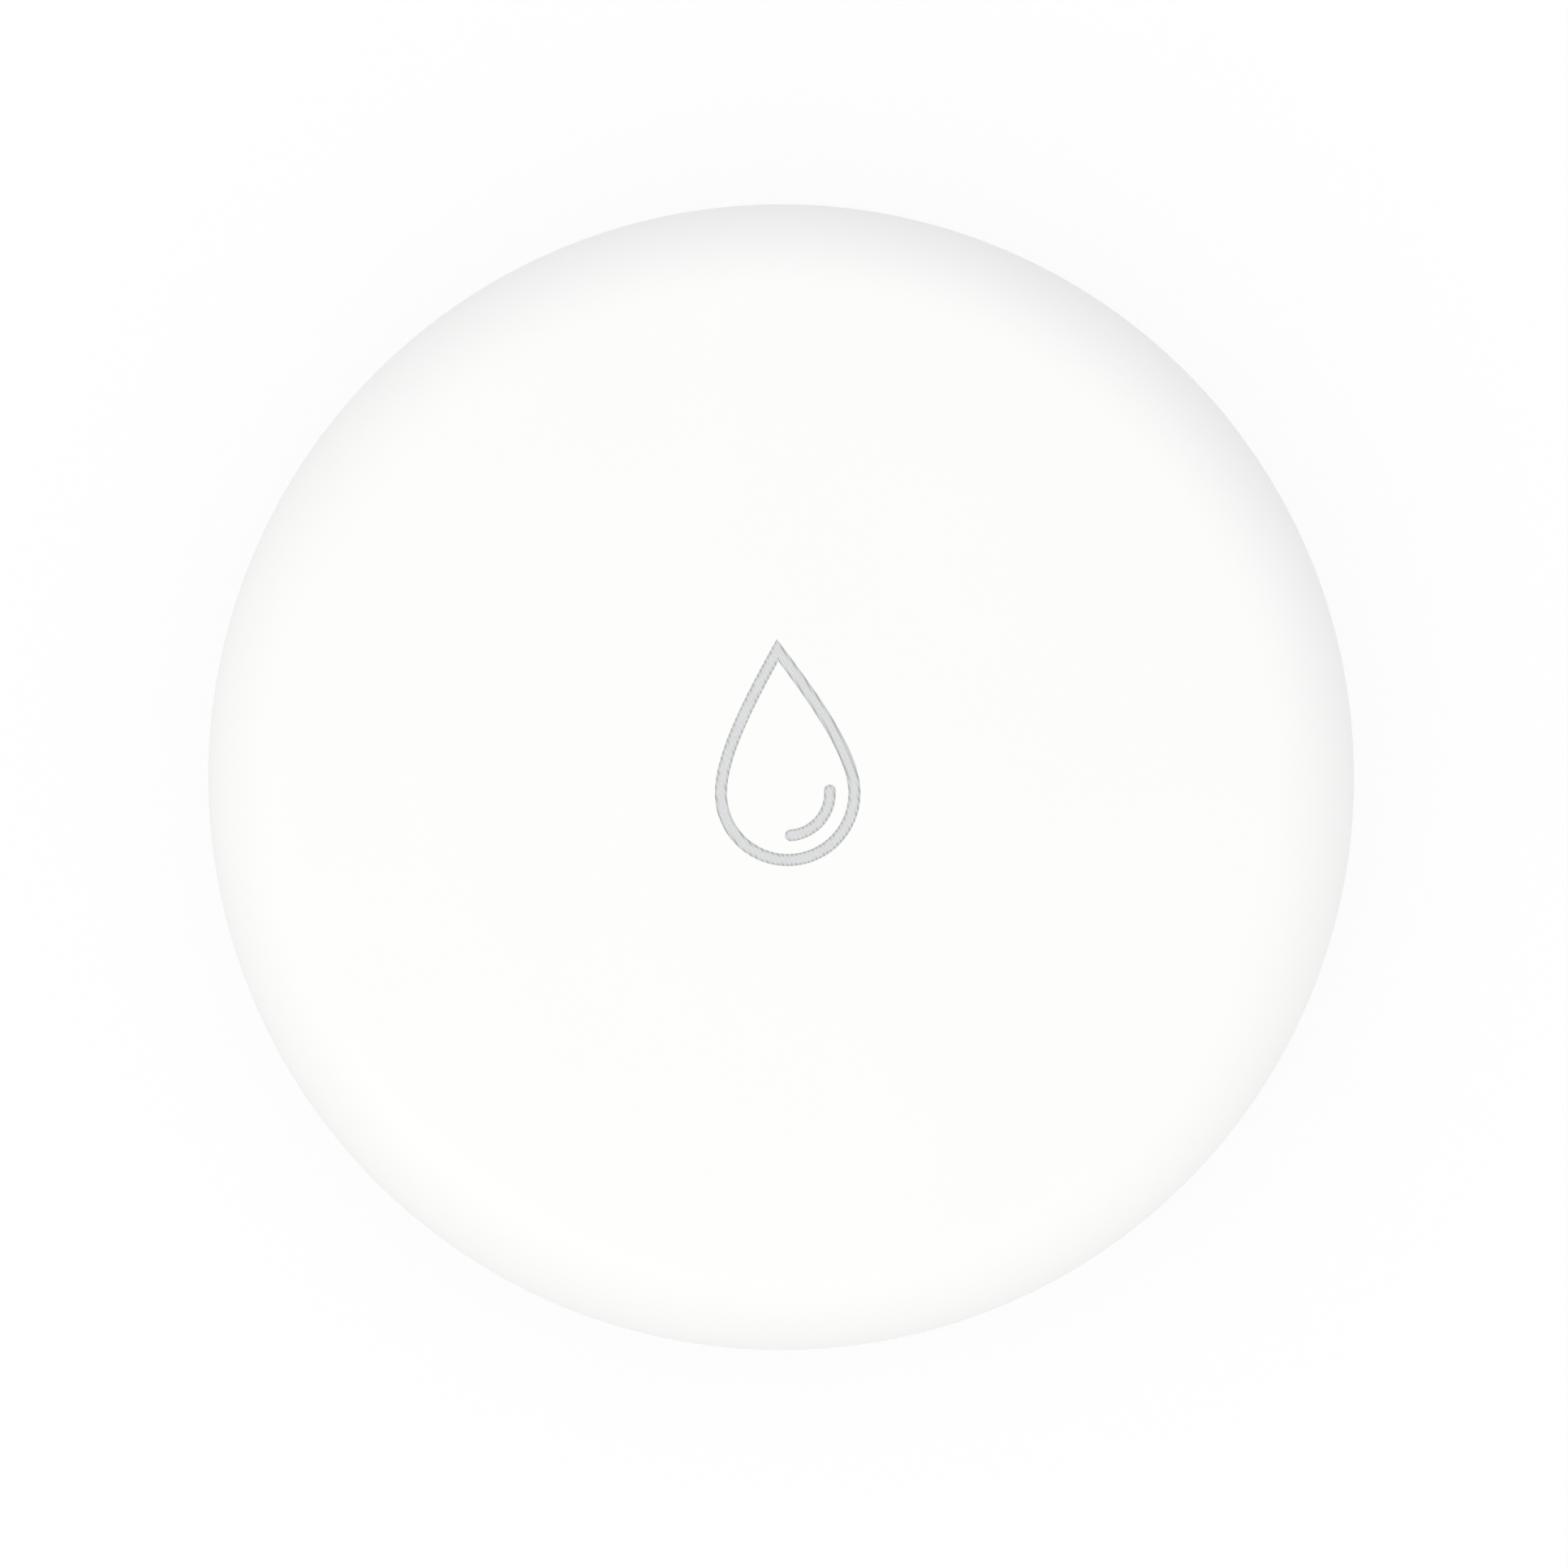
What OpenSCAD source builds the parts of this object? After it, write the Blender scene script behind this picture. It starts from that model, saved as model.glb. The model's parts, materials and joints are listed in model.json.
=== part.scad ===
// Round water leak sensor: a domed cover snapped on a sealed base, with two probe screws underneath
// and a coin cell behind a twist-lock door. Millimetres, +Z up, origin on the floor under the middle.

/* [Case] */
// Outer diameter of the case
case_d = 50; // [48:0.5:60]
// Height from the floor to the top of the crown
case_h = 15; // [14.5:0.25:22]
// Radius of the rounded upper edge
edge_r = 4; // [3:0.25:5]
// Rise of the crown over the inner end of the edge rounding
crown_rise = 0.7; // [0.4:0.1:1.2]
// Wall of the cover
cover_wall = 1.6; // [1.2:0.1:2]
// Diameter of the thin ceiling that flexes when it is pressed
press_d = 18; // [12:0.5:24]
// Thickness of the thin ceiling
press_wall = 1; // [0.8:0.1:1.2]
// Height of the base from its underside to the seam
base_h = 3.8; // [3.4:0.1:4.4]
// Radius of the rounded lower edge
base_edge_r = 3; // [2:0.1:3.2]
// Step of the base inside the edge of the cover
seam_step = 0.3; // [0.1:0.05:0.6]
// Open line between cover and base
seam_gap = 0.15; // [0.05:0.05:0.4]
// Thickness of the base plate
plate_t = 1.6; // [1.4:0.1:2]
// Wall of the raised rim that enters the cover
rim_wall = 1.8; // [1.5:0.1:2.2]
// Height of the rim over the circuit board
rim_over = 1; // [0.9:0.1:1.3]
// Width of the key that sets how the cover is turned
key_w = 3; // [2:0.25:5]
// Length of the key below the top of the rim
key_drop = 0.8; // [0.5:0.1:0.9]

/* [Snap and seam seal] */
// Height of the seal's middle over the seam
seam_seal_up = 1.5; // [1.2:0.1:1.8]
// Thickness of the seal ring
seam_seal_t = 1; // [0.8:0.1:1.2]
// Height of the snap bead's middle over the seam
snap_up = 3.5; // [3:0.1:3.8]
// Height of the snap bead
snap_h = 1; // [0.6:0.1:1.2]
// Reach of the snap bead
snap_reach = 0.35; // [0.2:0.05:0.5]
// Angle that each of the six snap beads covers
snap_a = 30; // [15:1:45]

/* [Feet] */
// Height of the feet
foot_h = 0.8; // [0.6:0.1:1.4]
// Diameter of a foot
foot_d = 3.2; // [2:0.1:3.6]
// Distance from the case edge to the middle of a foot
foot_inset = 5.4; // [5.2:0.1:7]

/* [Probes] */
// Distance from the case edge to the middle of a probe
probe_inset = 6.8; // [6.6:0.1:7.2]
// Diameter of a probe head
probe_head_d = 5.2; // [4.6:0.1:5.6]
// Thickness of a probe head
probe_head_h = 0.9; // [0.7:0.1:1]
// Distance that a probe head stands out of the base
probe_out = 0.3; // [0.1:0.05:0.5]
// Thread diameter of a probe
probe_thread_d = 2.5; // [2:0.1:3]
// Length of a probe's thread under its head
probe_len = 5; // [3.5:0.1:6]
// Width of the cross recess in a probe or screw head
recess_w = 0.8; // [0.5:0.05:1]
// Length of the cross recess in a probe head
recess_len = 3; // [2:0.1:3.6]
// Depth of the cross recess
recess_depth = 0.5; // [0.3:0.05:0.6]
// Thickness of a probe seal
probe_seal_t = 0.5; // [0.4:0.05:0.7]
// Plastic between a probe seal and the threaded insert
probe_web = 1; // [0.8:0.1:1.5]
// Wall of a threaded insert
insert_wall = 0.65; // [0.5:0.05:0.8]
// Wall of a boss round its insert
boss_wall = 1.1; // [0.8:0.1:1.3]

/* [Coin cell] */
// Diameter of the cell
cell_d = 20; // [16:0.5:21]
// Height of the cell
cell_h = 3.2; // [2.5:0.1:3.6]
// Sheet thickness of the cell's can and cap
cell_wall = 0.3; // [0.2:0.05:0.35]
// Height of the cap over the can
cell_step = 0.35; // [0.25:0.05:0.5]
// Distance from the side of the can to the side of the cap
cell_rim = 1.6; // [1.5:0.1:2.2]

/* [Battery well and door] */
// Room round the cell
cell_slack = 0.2; // [0.1:0.05:0.5]
// Wall of the collar round the cell
collar_wall = 1.2; // [0.8:0.1:1.5]
// Distance from the top of the collar to the top of the cell
collar_below = 0.6; // [0.4:0.1:1]
// Thickness of the shelf that the door seal meets
shelf_t = 1; // [0.8:0.1:1.1]
// Wall of the well round the lugs
well_wall = 1; // [0.8:0.1:1.1]
// Distance that the door's face is set back from the base
door_recess = 0.1; // [0:0.05:0.3]
// Rounding of the door's outer edge
door_edge_r = 0.4; // [0.2:0.1:0.6]
// Room round the door and its lugs
door_slack = 0.2; // [0.1:0.05:0.3]
// Steps from the entry notches out to the ramps and on to the bore of the well
bore_step = 0.1; // [0.05:0.05:0.2]
// Thickness of the door seal
door_seal_t = 1.1; // [0.8:0.1:1.3]
// Height of the door seal over the door's inner face
door_seal_out = 0.15; // [0.1:0.05:0.25]
// Land between the cell's collar and the groove of the door seal
door_land = 0.6; // [0.4:0.1:0.8]
// Lip outside the groove of the door seal
door_lip = 0.4; // [0.3:0.1:0.6]
// Depth of the ramps' high ends under the inner face of the base plate
ramp_sink = 0.1; // [0.05:0.05:0.2]
// Thickness of a lug at its high end
lug_t = 1.45; // [1.3:0.05:1.6]
// Reach of a lug over the edge of the door
lug_reach = 1.1; // [0.8:0.1:1.3]
// Angle that a lug covers
lug_a = 28; // [20:1:32]
// Turn from locked to open
door_turn = 45; // [35:1:50]
// Drop of the door from locked to open
door_drop = 0.5; // [0.2:0.05:0.6]
// Length of the coin slot
slot_len = 15; // [10:0.5:18]
// Width of the coin slot
slot_w = 2.2; // [1.6:0.1:2.8]
// Depth of the coin slot
slot_depth = 1.5; // [1:0.1:1.6]

/* [Circuit board] */
// Thickness of the board
board_t = 1; // [0.8:0.1:1.6]
// Room round the board
board_slack = 0.5; // [0.2:0.1:1]
// Room for the contacts between cell and board
contact_room = 1; // [0.8:0.1:1.3]
// Sheet thickness of the contacts
contact_t = 0.2; // [0.15:0.05:0.25]
// Width of the contacts
contact_w = 4; // [3:0.25:5]
// Distance from the case edge to the middle of a board screw
screw_inset = 7; // [6.8:0.1:7.2]
// Thread diameter of a board screw
screw_d = 2; // [1.6:0.1:2.2]
// Length of a board screw under its head
screw_len = 4.5; // [3:0.25:5]
// Head diameter of a board screw
screw_head_d = 3.6; // [3:0.1:4]
// Head height of a board screw
screw_head_h = 1.2; // [0.8:0.1:1.5]
// Wall of a boss round its board screw
screw_boss_wall = 1.2; // [0.8:0.1:1.5]
// Side of the radio chip
chip_w = 6; // [4:0.5:7]
// Height of the radio chip
chip_h = 0.9; // [0.7:0.1:1.2]

/* [Press switch] */
// Side of the switch
switch_w = 5.2; // [4.6:0.1:6]
// Height of the switch base
switch_base_h = 1.4; // [1.2:0.1:1.7]
// Floor of the switch base
switch_floor = 0.3; // [0.2:0.05:0.35]
// Sheet thickness of the metal frame
frame_t = 0.2; // [0.15:0.05:0.3]
// Sheet thickness of the metal dome
dome_t = 0.1; // [0.08:0.01:0.12]
// Diameter of the plunger
plunger_d = 2.7; // [2:0.1:3]
// Reach of the flange that holds the plunger in
flange_reach = 0.4; // [0.3:0.05:0.5]
// Height of the plunger's flange
flange_h = 0.45; // [0.35:0.05:0.5]
// Height of the plunger over the frame
plunger_out = 0.9; // [0.6:0.1:1.2]
// Diameter of the post under the cover
post_d = 2.4; // [2:0.1:4]
// Room between post and plunger
post_gap = 0.15; // [0.1:0.05:0.3]

/* [Fits] */
// Gap round pieces that slip into each other
slip = 0.1; // [0.05:0.01:0.15]
// Gap between faces that bear on each other
touch = 0.05; // [0.02:0.01:0.06]

/* [Hidden] */
$fn = 96;

// Overlap of shapes that are joined, and overshoot of cuts
lap = 0.5;

// Radii of the case, from the outside in
case_r = case_d / 2;
base_r = case_r - seam_step;
cover_in_r = case_r - cover_wall;
rim_r = cover_in_r - slip;
rim_in_r = rim_r - rim_wall;
board_r = rim_in_r - board_slack;

// Crown and upper edge: the arcs would touch where the crown leans by crown_a, and the edge arc
// is lifted by a hair so that they cross
edge_lift = 0.003;
edge_x = case_r - edge_r;
crown_r = (edge_x ^ 2 + crown_rise ^ 2) / (2 * crown_rise);
crown_z = case_h - crown_r;
crown_a = asin(edge_x / (crown_r - edge_r));
edge_z = crown_z + (crown_r - edge_r) * cos(crown_a) + edge_lift;

// Radii of the battery well, from the cell outwards
cell_r = cell_d / 2;
well_in_r = cell_r + cell_slack;
collar_r = well_in_r + collar_wall;
groove_w = door_seal_t + 2 * slip;
groove_r = well_in_r + door_land;
door_seal_r = groove_r + groove_w / 2;
door_r = groove_r + groove_w + door_lip;
hole_r = door_r + door_slack;
lug_r = door_r + lug_reach;
notch_r = lug_r + door_slack;
ramp_r = notch_r + bore_step;
bore_r = ramp_r + bore_step;
well_r = bore_r + well_wall;

// Heights, from the floor up
base_z0 = foot_h;
plate_z1 = base_z0 + plate_t;
seam_z = base_z0 + base_h;
door_z0 = base_z0 + door_recess;
ramp_z1 = plate_z1 - ramp_sink;
door_z1 = ramp_z1 + touch + lug_t;
shelf_z0 = door_z1 + door_seal_out + touch;
shelf_z1 = shelf_z0 + shelf_t;
cell_z0 = door_z1 + touch;
can_z1 = cell_z0 + cell_h - cell_step;
cell_z1 = cell_z0 + cell_h;
collar_z1 = cell_z1 - collar_below;
board_z0 = cell_z1 + contact_room;
board_z1 = board_z0 + board_t;
rim_z1 = board_z1 + rim_over;
seam_seal_z = seam_z + seam_seal_up;
snap_z = seam_z + snap_up;

// Lugs: entry notches, ramps and end stops, three of each, from the angle of the first notch
lug_count = 3;
first_notch = 30;
notch_room_a = 3;
notch_a = lug_a + 2 * notch_room_a;
stop_room_a = 1;
ramp_end = door_turn + lug_a / 2 + stop_room_a;
stop_a = 10;
lug_mid_r = (door_r + lug_r) / 2;
ramp_slope = atan(door_drop / (lug_mid_r * door_turn * PI / 180));

// Probes
probe_r = case_r - probe_inset;
probe_z0 = base_z0 - probe_out;
probe_seat_z = probe_z0 + probe_head_h;
probe_bore_z = probe_seat_z + probe_seal_t;
insert_z0 = probe_bore_z + probe_web;
insert_r = probe_thread_d / 2 + touch + insert_wall;
boss_r = insert_r + boss_wall;
head_edge_r = 0.4;

// Board screws and feet
screw_r = case_r - screw_inset;
screw_boss_r = screw_d / 2 + screw_boss_wall;
screw_recess_len = 0.6 * screw_head_d;
foot_r = case_r - foot_inset;
foot_taper = 0.3;

// Contacts: the turn and pad of the positive leaf, and distances from the middle along the negative one
contact_turn = 45;
positive_pad = 3;
negative_pad_out = 5;
negative_pad_in = 2;
negative_crest = 2;
negative_tip = 3.4;

// Places and sizes of the small parts on the board, set in from its edge
chip_inset = 11.5;
capacitor_inset = 6.7;
resistor_inset = 12;
chip_at = [board_r - chip_inset, 5.5];
crystal_at = [board_r - chip_inset, -0.6];
crystal_size = [3.2, 2.5, 0.8];
crystal_step = 0.2;
lamp_at = [0, 5.4];
lamp_size = [2, 1.25, 0.8];
lamp_lens_w = 1.3;
pin_dot_r = 0.4;
pin_dot_depth = 0.1;
pin_dot_inset = 0.8;
chip_part_size = [1.6, 0.8];
end_cap_w = 0.3;
end_cap_step = 0.05;
capacitor_h = 0.8;
resistor_h = 0.45;
chip_part_count = 5;
chip_part_pitch = 1.5;
capacitors_at = [board_r - capacitor_inset, 3];
resistors_at = [resistor_inset - board_r, 3];

// Heights of the press switch
frame_z0 = board_z1 + switch_base_h;
frame_z1 = frame_z0 + frame_t;
flange_z0 = frame_z0 - touch - flange_h;
plunger_z1 = frame_z1 + plunger_out;
plunger_r = plunger_d / 2;
flange_r = plunger_r + flange_reach;
switch_floor_z = board_z1 + switch_floor;

function reversed(list) = [for (i = [len(list) - 1 : -1 : 0]) list[i]];

// Height of the ramped faces at an angle round the door: they are highest at the end stops
function ramp_z(a) = ramp_z1 - door_drop * (ramp_end - a) / door_turn;

// One side of a bent strip, mitred at its bends
function unit(v) = v / norm(v);
function left(v) = [-v[1], v[0]];
function strip_side(path, d) = [for (i = [0 : len(path) - 1]) let (
    before = max(i, 1),
    after = min(i, len(path) - 2),
    in_side = left(unit(path[before] - path[before - 1])),
    out_side = left(unit(path[after + 1] - path[after])),
    middle = unit(in_side + out_side)) path[i] + middle * d / (middle * in_side)];

module bent_strip(path, t, w) {
    rotate([90, 0, 0])
        linear_extrude(w, center = true)
            polygon(concat(strip_side(path, t / 2), reversed(strip_side(path, -t / 2))));
}

// Half profile of a disc with a rounded lower edge
module low_edge(r, h, round) {
    square([r - round, h]);
    translate([0, round]) square([r, h - round]);
    translate([r - round, round]) intersection() {
        circle(round);
        translate([-2 * round, -2 * round]) square([4 * round, round + h]);
    }
}

// Half profile of the cover's skin from a height up, set in by a wall: crown, rounded edge and side
module cover_profile(inset, z0) {
    intersection() {
        union() {
            intersection() {
                translate([0, crown_z]) circle(crown_r - inset);
                square([edge_x + (edge_r - inset) * sin(crown_a), case_h + lap]);
            }
            translate([edge_x, edge_z]) circle(edge_r - inset);
            square([case_r - inset, edge_z]);
        }
        translate([0, z0]) square([case_d, case_h]);
    }
}

module ring(r_in, r_out, z0, z1) {
    rotate_extrude() translate([r_in, z0]) square([r_out - r_in, z1 - z0]);
}

module disc(r, z0, z1) {
    translate([0, 0, z0]) cylinder(r = r, h = z1 - z0);
}

module sector(r_in, r_out, z0, z1, from, to) {
    rotate([0, 0, from])
        rotate_extrude(angle = to - from)
            translate([r_in, z0]) square([r_out - r_in, z1 - z0]);
}

// Half space over or under the ramped face, tangent to it at an angle round the door
module ramp_side(at, lift, over) {
    size = 4 * lug_r;
    rotate([0, 0, at])
        translate([lug_mid_r, 0, ramp_z(at) + lift])
            rotate([ramp_slope, 0, 0])
                translate([-size / 2, -size / 2, over ? 0 : -size]) cube(size);
}

module at_probe(side) {
    translate([side * probe_r, 0, 0]) children();
}

module at_probes() {
    for (side = [-1, 1]) at_probe(side) children();
}

module at_screws() {
    for (i = [0 : 2]) rotate([0, 0, 90 + 120 * i]) translate([screw_r, 0, 0]) children();
}

module at_feet() {
    for (i = [0 : 3]) rotate([0, 0, 45 + 90 * i]) translate([foot_r, 0, 0]) children();
}

module at_lugs() {
    for (i = [0 : lug_count - 1]) rotate([0, 0, first_notch + 360 / lug_count * i]) children();
}

// Case
module snap_bead() {
    rotate_extrude(angle = snap_a)
        polygon([
            [cover_in_r + lap, snap_z - snap_h / 2],
            [cover_in_r, snap_z - snap_h / 2],
            [cover_in_r - snap_reach, snap_z],
            [cover_in_r, snap_z + snap_h / 2],
            [cover_in_r + lap, snap_z + snap_h / 2]]);
}

module cover_key() {
    key_z0 = rim_z1 - key_drop;
    translate([-key_w / 2, rim_in_r, key_z0])
        cube([key_w, cover_in_r + lap - rim_in_r, edge_z + lap - key_z0]);
}

module top_cover() {
    color("whitesmoke") {
        difference() {
            rotate_extrude()
                difference() {
                    cover_profile(0, seam_z + seam_gap);
                    cover_profile(cover_wall, seam_z);
                }
            disc(press_d / 2, plunger_z1, case_h - press_wall);
        }
        disc(post_d / 2, plunger_z1 + post_gap, case_h - press_wall / 2);
        for (i = [0 : 5]) rotate([0, 0, 60 * i - snap_a / 2]) snap_bead();
        cover_key();
    }
}

module base_profile() {
    difference() {
        union() {
            translate([0, base_z0]) low_edge(base_r, base_h, base_edge_r);
            translate([rim_in_r, plate_z1]) square([rim_wall, rim_z1 - plate_z1]);
        }
        translate([0, plate_z1]) square([rim_in_r, rim_z1]);
        square([hole_r, plate_z1 + lap]);
        translate([cover_in_r - seam_seal_t - 2 * touch, seam_seal_z - seam_seal_t / 2 - slip])
            square([cover_wall + seam_seal_t, seam_seal_t + 2 * slip]);
        translate([rim_r - snap_reach, snap_z - snap_h / 2 - slip])
            square([cover_wall, snap_h + 2 * slip]);
    }
    translate([bore_r, plate_z1 - lap]) square([well_wall, shelf_z1 - plate_z1 + lap]);
    translate([well_in_r, shelf_z0]) square([well_r - well_in_r, shelf_t]);
    translate([well_in_r, shelf_z0]) square([collar_wall, collar_z1 - shelf_z0]);
}

module foot() {
    cylinder(r1 = foot_d / 2 - foot_taper, r2 = foot_d / 2, h = foot_h / 2);
    disc(foot_d / 2, foot_h / 2, foot_h + lap);
}

module probe_bore() {
    disc(probe_head_d / 2 + slip, probe_z0 - lap, probe_bore_z);
    disc(probe_thread_d / 2 + slip, probe_bore_z - lap, insert_z0 + lap);
    disc(insert_r + touch, insert_z0, board_z0 + lap);
}

module contact_window() {
    rotate([0, 0, contact_turn])
        translate([cell_r - lap, -contact_w / 2 - cell_slack, shelf_z1])
            cube([collar_r - cell_r + 2 * lap, contact_w + 2 * cell_slack, collar_z1 - shelf_z1 + lap]);
}

module entry_notch() {
    sector(door_r - lap, notch_r, base_z0 - lap, plate_z1 + lap, -notch_a / 2, notch_a / 2);
}

module door_ramp() {
    intersection() {
        sector(door_r - 2 * lap, ramp_r, base_z0, plate_z1 + lap, lug_a / 2, ramp_end);
        ramp_side((notch_a / 2 + ramp_end) / 2, 0, true);
    }
}

module door_stop() {
    sector(hole_r + bore_step, bore_r + lap, plate_z1 - lap, shelf_z0 + lap, ramp_end, ramp_end + stop_a);
}

module base_shell() {
    color("whitesmoke") {
        difference() {
            union() {
                rotate_extrude() base_profile();
                at_probes() disc(boss_r, plate_z1 - lap, board_z0);
                at_screws() disc(screw_boss_r, plate_z1 - lap, board_z0);
                at_feet() foot();
            }
            at_lugs() entry_notch();
            at_lugs() door_ramp();
            at_probes() probe_bore();
            at_screws() disc(screw_d / 2 + touch, board_z0 - screw_len, board_z0 + lap);
            contact_window();
            translate([-key_w / 2 - slip, rim_in_r - lap, rim_z1 - key_drop - slip])
                cube([key_w + 2 * slip, rim_wall + 2 * lap, rim_z1]);
        }
        at_lugs() door_stop();
    }
}

module seam_seal() {
    color("dimgray")
        rotate_extrude()
            translate([cover_in_r - touch - seam_seal_t / 2, seam_seal_z]) circle(seam_seal_t / 2);
}

// Recess for a cross-head driver
module cross_recess(length, z0, z1) {
    for (turn = [0, 90]) rotate([0, 0, turn])
        translate([-length / 2, -recess_w / 2, z0]) cube([length, recess_w, z1 - z0]);
}

// Probes
module probe() {
    difference() {
        union() {
            translate([0, 0, probe_z0])
                rotate_extrude() low_edge(probe_head_d / 2, probe_head_h, head_edge_r);
            disc(probe_thread_d / 2, probe_seat_z - head_edge_r, probe_seat_z + probe_len);
        }
        cross_recess(recess_len, probe_z0 - lap, probe_z0 + recess_depth);
    }
}

module probe_left() {
    color("silver") at_probe(-1) probe();
}

module probe_right() {
    color("silver") at_probe(1) probe();
}

module probe_seals() {
    color("dimgray")
        at_probes() ring(probe_thread_d / 2 + touch, probe_head_d / 2 - touch, probe_seat_z, probe_bore_z);
}

module probe_inserts() {
    color("gold") at_probes() ring(probe_thread_d / 2 + touch, insert_r, insert_z0, board_z0);
}

// Battery door
module lug() {
    from = door_turn - lug_a / 2;
    to = door_turn + lug_a / 2;
    difference() {
        sector(door_r - door_lip / 2, lug_r, ramp_z(from) - lap, door_z1, from, to);
        ramp_side(door_turn, touch, false);
    }
}

module battery_door() {
    door_t = door_z1 - door_z0;
    groove_depth = door_seal_t - door_seal_out + touch;
    coin_r = (slot_len ^ 2 / 4 + slot_depth ^ 2) / (2 * slot_depth);
    color("whitesmoke") {
        difference() {
            translate([0, 0, door_z0]) rotate_extrude() low_edge(door_r, door_t, door_edge_r);
            ring(groove_r, groove_r + groove_w, door_z1 - groove_depth, door_z1 + lap);
            translate([0, 0, door_z0 + slot_depth - coin_r])
                rotate([90, 0, 0]) cylinder(r = coin_r, h = slot_w, center = true);
        }
        at_lugs() lug();
    }
}

module door_seal() {
    color("dimgray")
        rotate_extrude()
            translate([door_seal_r, door_z1 + door_seal_out - door_seal_t / 2]) circle(door_seal_t / 2);
}

// Coin cell: the cap's flange and the gasket lie under the can's rolled lip
cap_r = cell_r - cell_rim;
lip_z0 = can_z1 - cell_wall;
gasket_r = cell_r - cell_wall - touch;
gasket_t = 0.35;
gasket_z1 = lip_z0 - touch;
flange_out_r = gasket_r - gasket_t - touch;
cap_flange_z1 = gasket_z1 - cell_wall - touch;
cap_flange_z0 = cap_flange_z1 - cell_wall;
core_z0 = cell_z0 + cell_wall + touch;

module cell_can() {
    color("silver") {
        difference() {
            translate([0, 0, cell_z0])
                rotate_extrude() low_edge(cell_r, can_z1 - cell_z0, cell_wall);
            disc(cell_r - cell_wall, cell_z0 + cell_wall, can_z1 + lap);
        }
        ring(cap_r + gasket_t + 2 * touch, cell_r - cell_wall / 2, lip_z0, can_z1);
    }
}

module cell_gasket() {
    color("dimgray")
        rotate_extrude() {
            translate([gasket_r - gasket_t, core_z0]) square([gasket_t, gasket_z1 - core_z0]);
            translate([cap_r + touch, gasket_z1 - cell_wall])
                square([gasket_r - cap_r - touch, cell_wall]);
            translate([cap_r + touch, gasket_z1 - cell_wall])
                square([gasket_t, can_z1 - gasket_z1 + cell_wall]);
        }
}

module cell_cap() {
    color("silver")
        rotate_extrude() {
            translate([0, cell_z1 - cell_wall]) square([cap_r, cell_wall]);
            translate([cap_r - cell_wall, cap_flange_z0]) square([cell_wall, cell_z1 - cap_flange_z0]);
            translate([cap_r - cell_wall, cap_flange_z0])
                square([flange_out_r - cap_r + cell_wall, cell_wall]);
        }
}

module cell_core() {
    color("black")
        rotate_extrude() {
            translate([0, core_z0]) square([flange_out_r, cap_flange_z0 - touch - core_z0]);
            translate([0, core_z0])
                square([cap_r - cell_wall - touch, cell_z1 - cell_wall - touch - core_z0]);
        }
}

// Circuit board
module circuit_board() {
    color("darkgreen")
        difference() {
            disc(board_r, board_z0, board_z1);
            at_screws() disc(screw_d / 2 + slip, board_z0 - lap, board_z1 + lap);
        }
}

module board_screw() {
    top_z = board_z1 + screw_head_h;
    difference() {
        union() {
            translate([0, 0, top_z])
                rotate([180, 0, 0]) rotate_extrude() low_edge(screw_head_d / 2, screw_head_h, head_edge_r);
            disc(screw_d / 2, board_z1 - screw_len, board_z1 + lap);
        }
        cross_recess(screw_recess_len, top_z - recess_depth, top_z + lap);
    }
}

module board_screws() {
    color("silver") at_screws() board_screw();
}

// Leaf from a pad under the board, down to the cap and up again at its tip
module negative_contact() {
    pad_z = board_z0 - contact_t / 2;
    crest_z = cell_z1 + 2 * touch + contact_t / 2;
    color("silver")
        bent_strip(
            [[-negative_pad_out, pad_z], [-negative_pad_in, pad_z],
                [negative_crest, crest_z], [negative_tip, (pad_z + crest_z) / 2]],
            contact_t, contact_w);
}

// Leaf from a pad under the board, through the collar's window to the side of the can
module positive_contact() {
    pad_z = board_z0 - contact_t / 2;
    crest = [cell_r + 2 * touch + contact_t / 2, (shelf_z1 + collar_z1) / 2 + contact_t];
    tip = [cell_r + collar_wall / 2 + contact_t, shelf_z1 + contact_t];
    color("silver")
        rotate([0, 0, contact_turn])
            bent_strip(
                [[collar_r + positive_pad, pad_z], [collar_r, pad_z], crest, tip],
                contact_t, contact_w);
}

module block(at, size) {
    translate([at[0] - size[0] / 2, at[1] - size[1] / 2, board_z1]) cube(size);
}

module radio_chip() {
    dot = chip_at - [1, 1] * (chip_w / 2 - pin_dot_inset);
    color("black")
        difference() {
            block(chip_at, [chip_w, chip_w, chip_h]);
            translate(dot) disc(pin_dot_r, board_z1 + chip_h - pin_dot_depth, board_z1 + chip_h + lap);
        }
}

module crystal() {
    color("silver") {
        block(crystal_at, [crystal_size[0], crystal_size[1], crystal_size[2] / 2]);
        block(crystal_at, crystal_size - [2 * crystal_step, 2 * crystal_step, 0]);
    }
}

// Row of chip parts, each with a slightly lower middle between its end caps
module chip_part_row(at, h) {
    for (i = [0 : chip_part_count - 1]) {
        place = at + [0, i * chip_part_pitch];
        block(place, [chip_part_size[0], chip_part_size[1] - 2 * end_cap_step, h - end_cap_step]);
        for (side = [-1, 1])
            block(
                place + [side * (chip_part_size[0] - end_cap_w) / 2, 0],
                [end_cap_w, chip_part_size[1], h]);
    }
}

module capacitors() {
    color("tan") chip_part_row(capacitors_at, capacitor_h);
}

module resistors() {
    color("black") chip_part_row(resistors_at, resistor_h);
}

module indicator_lamp() {
    color("ivory") {
        block(lamp_at, [lamp_size[0], lamp_size[1], lamp_size[2] / 2]);
        block(lamp_at, [lamp_lens_w, lamp_size[1], lamp_size[2]]);
    }
}

// Press switch
module switch_base() {
    color("black")
        difference() {
            block([0, 0], [switch_w, switch_w, switch_base_h]);
            disc(flange_r + slip, switch_floor_z, frame_z0 + lap);
        }
}

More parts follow.
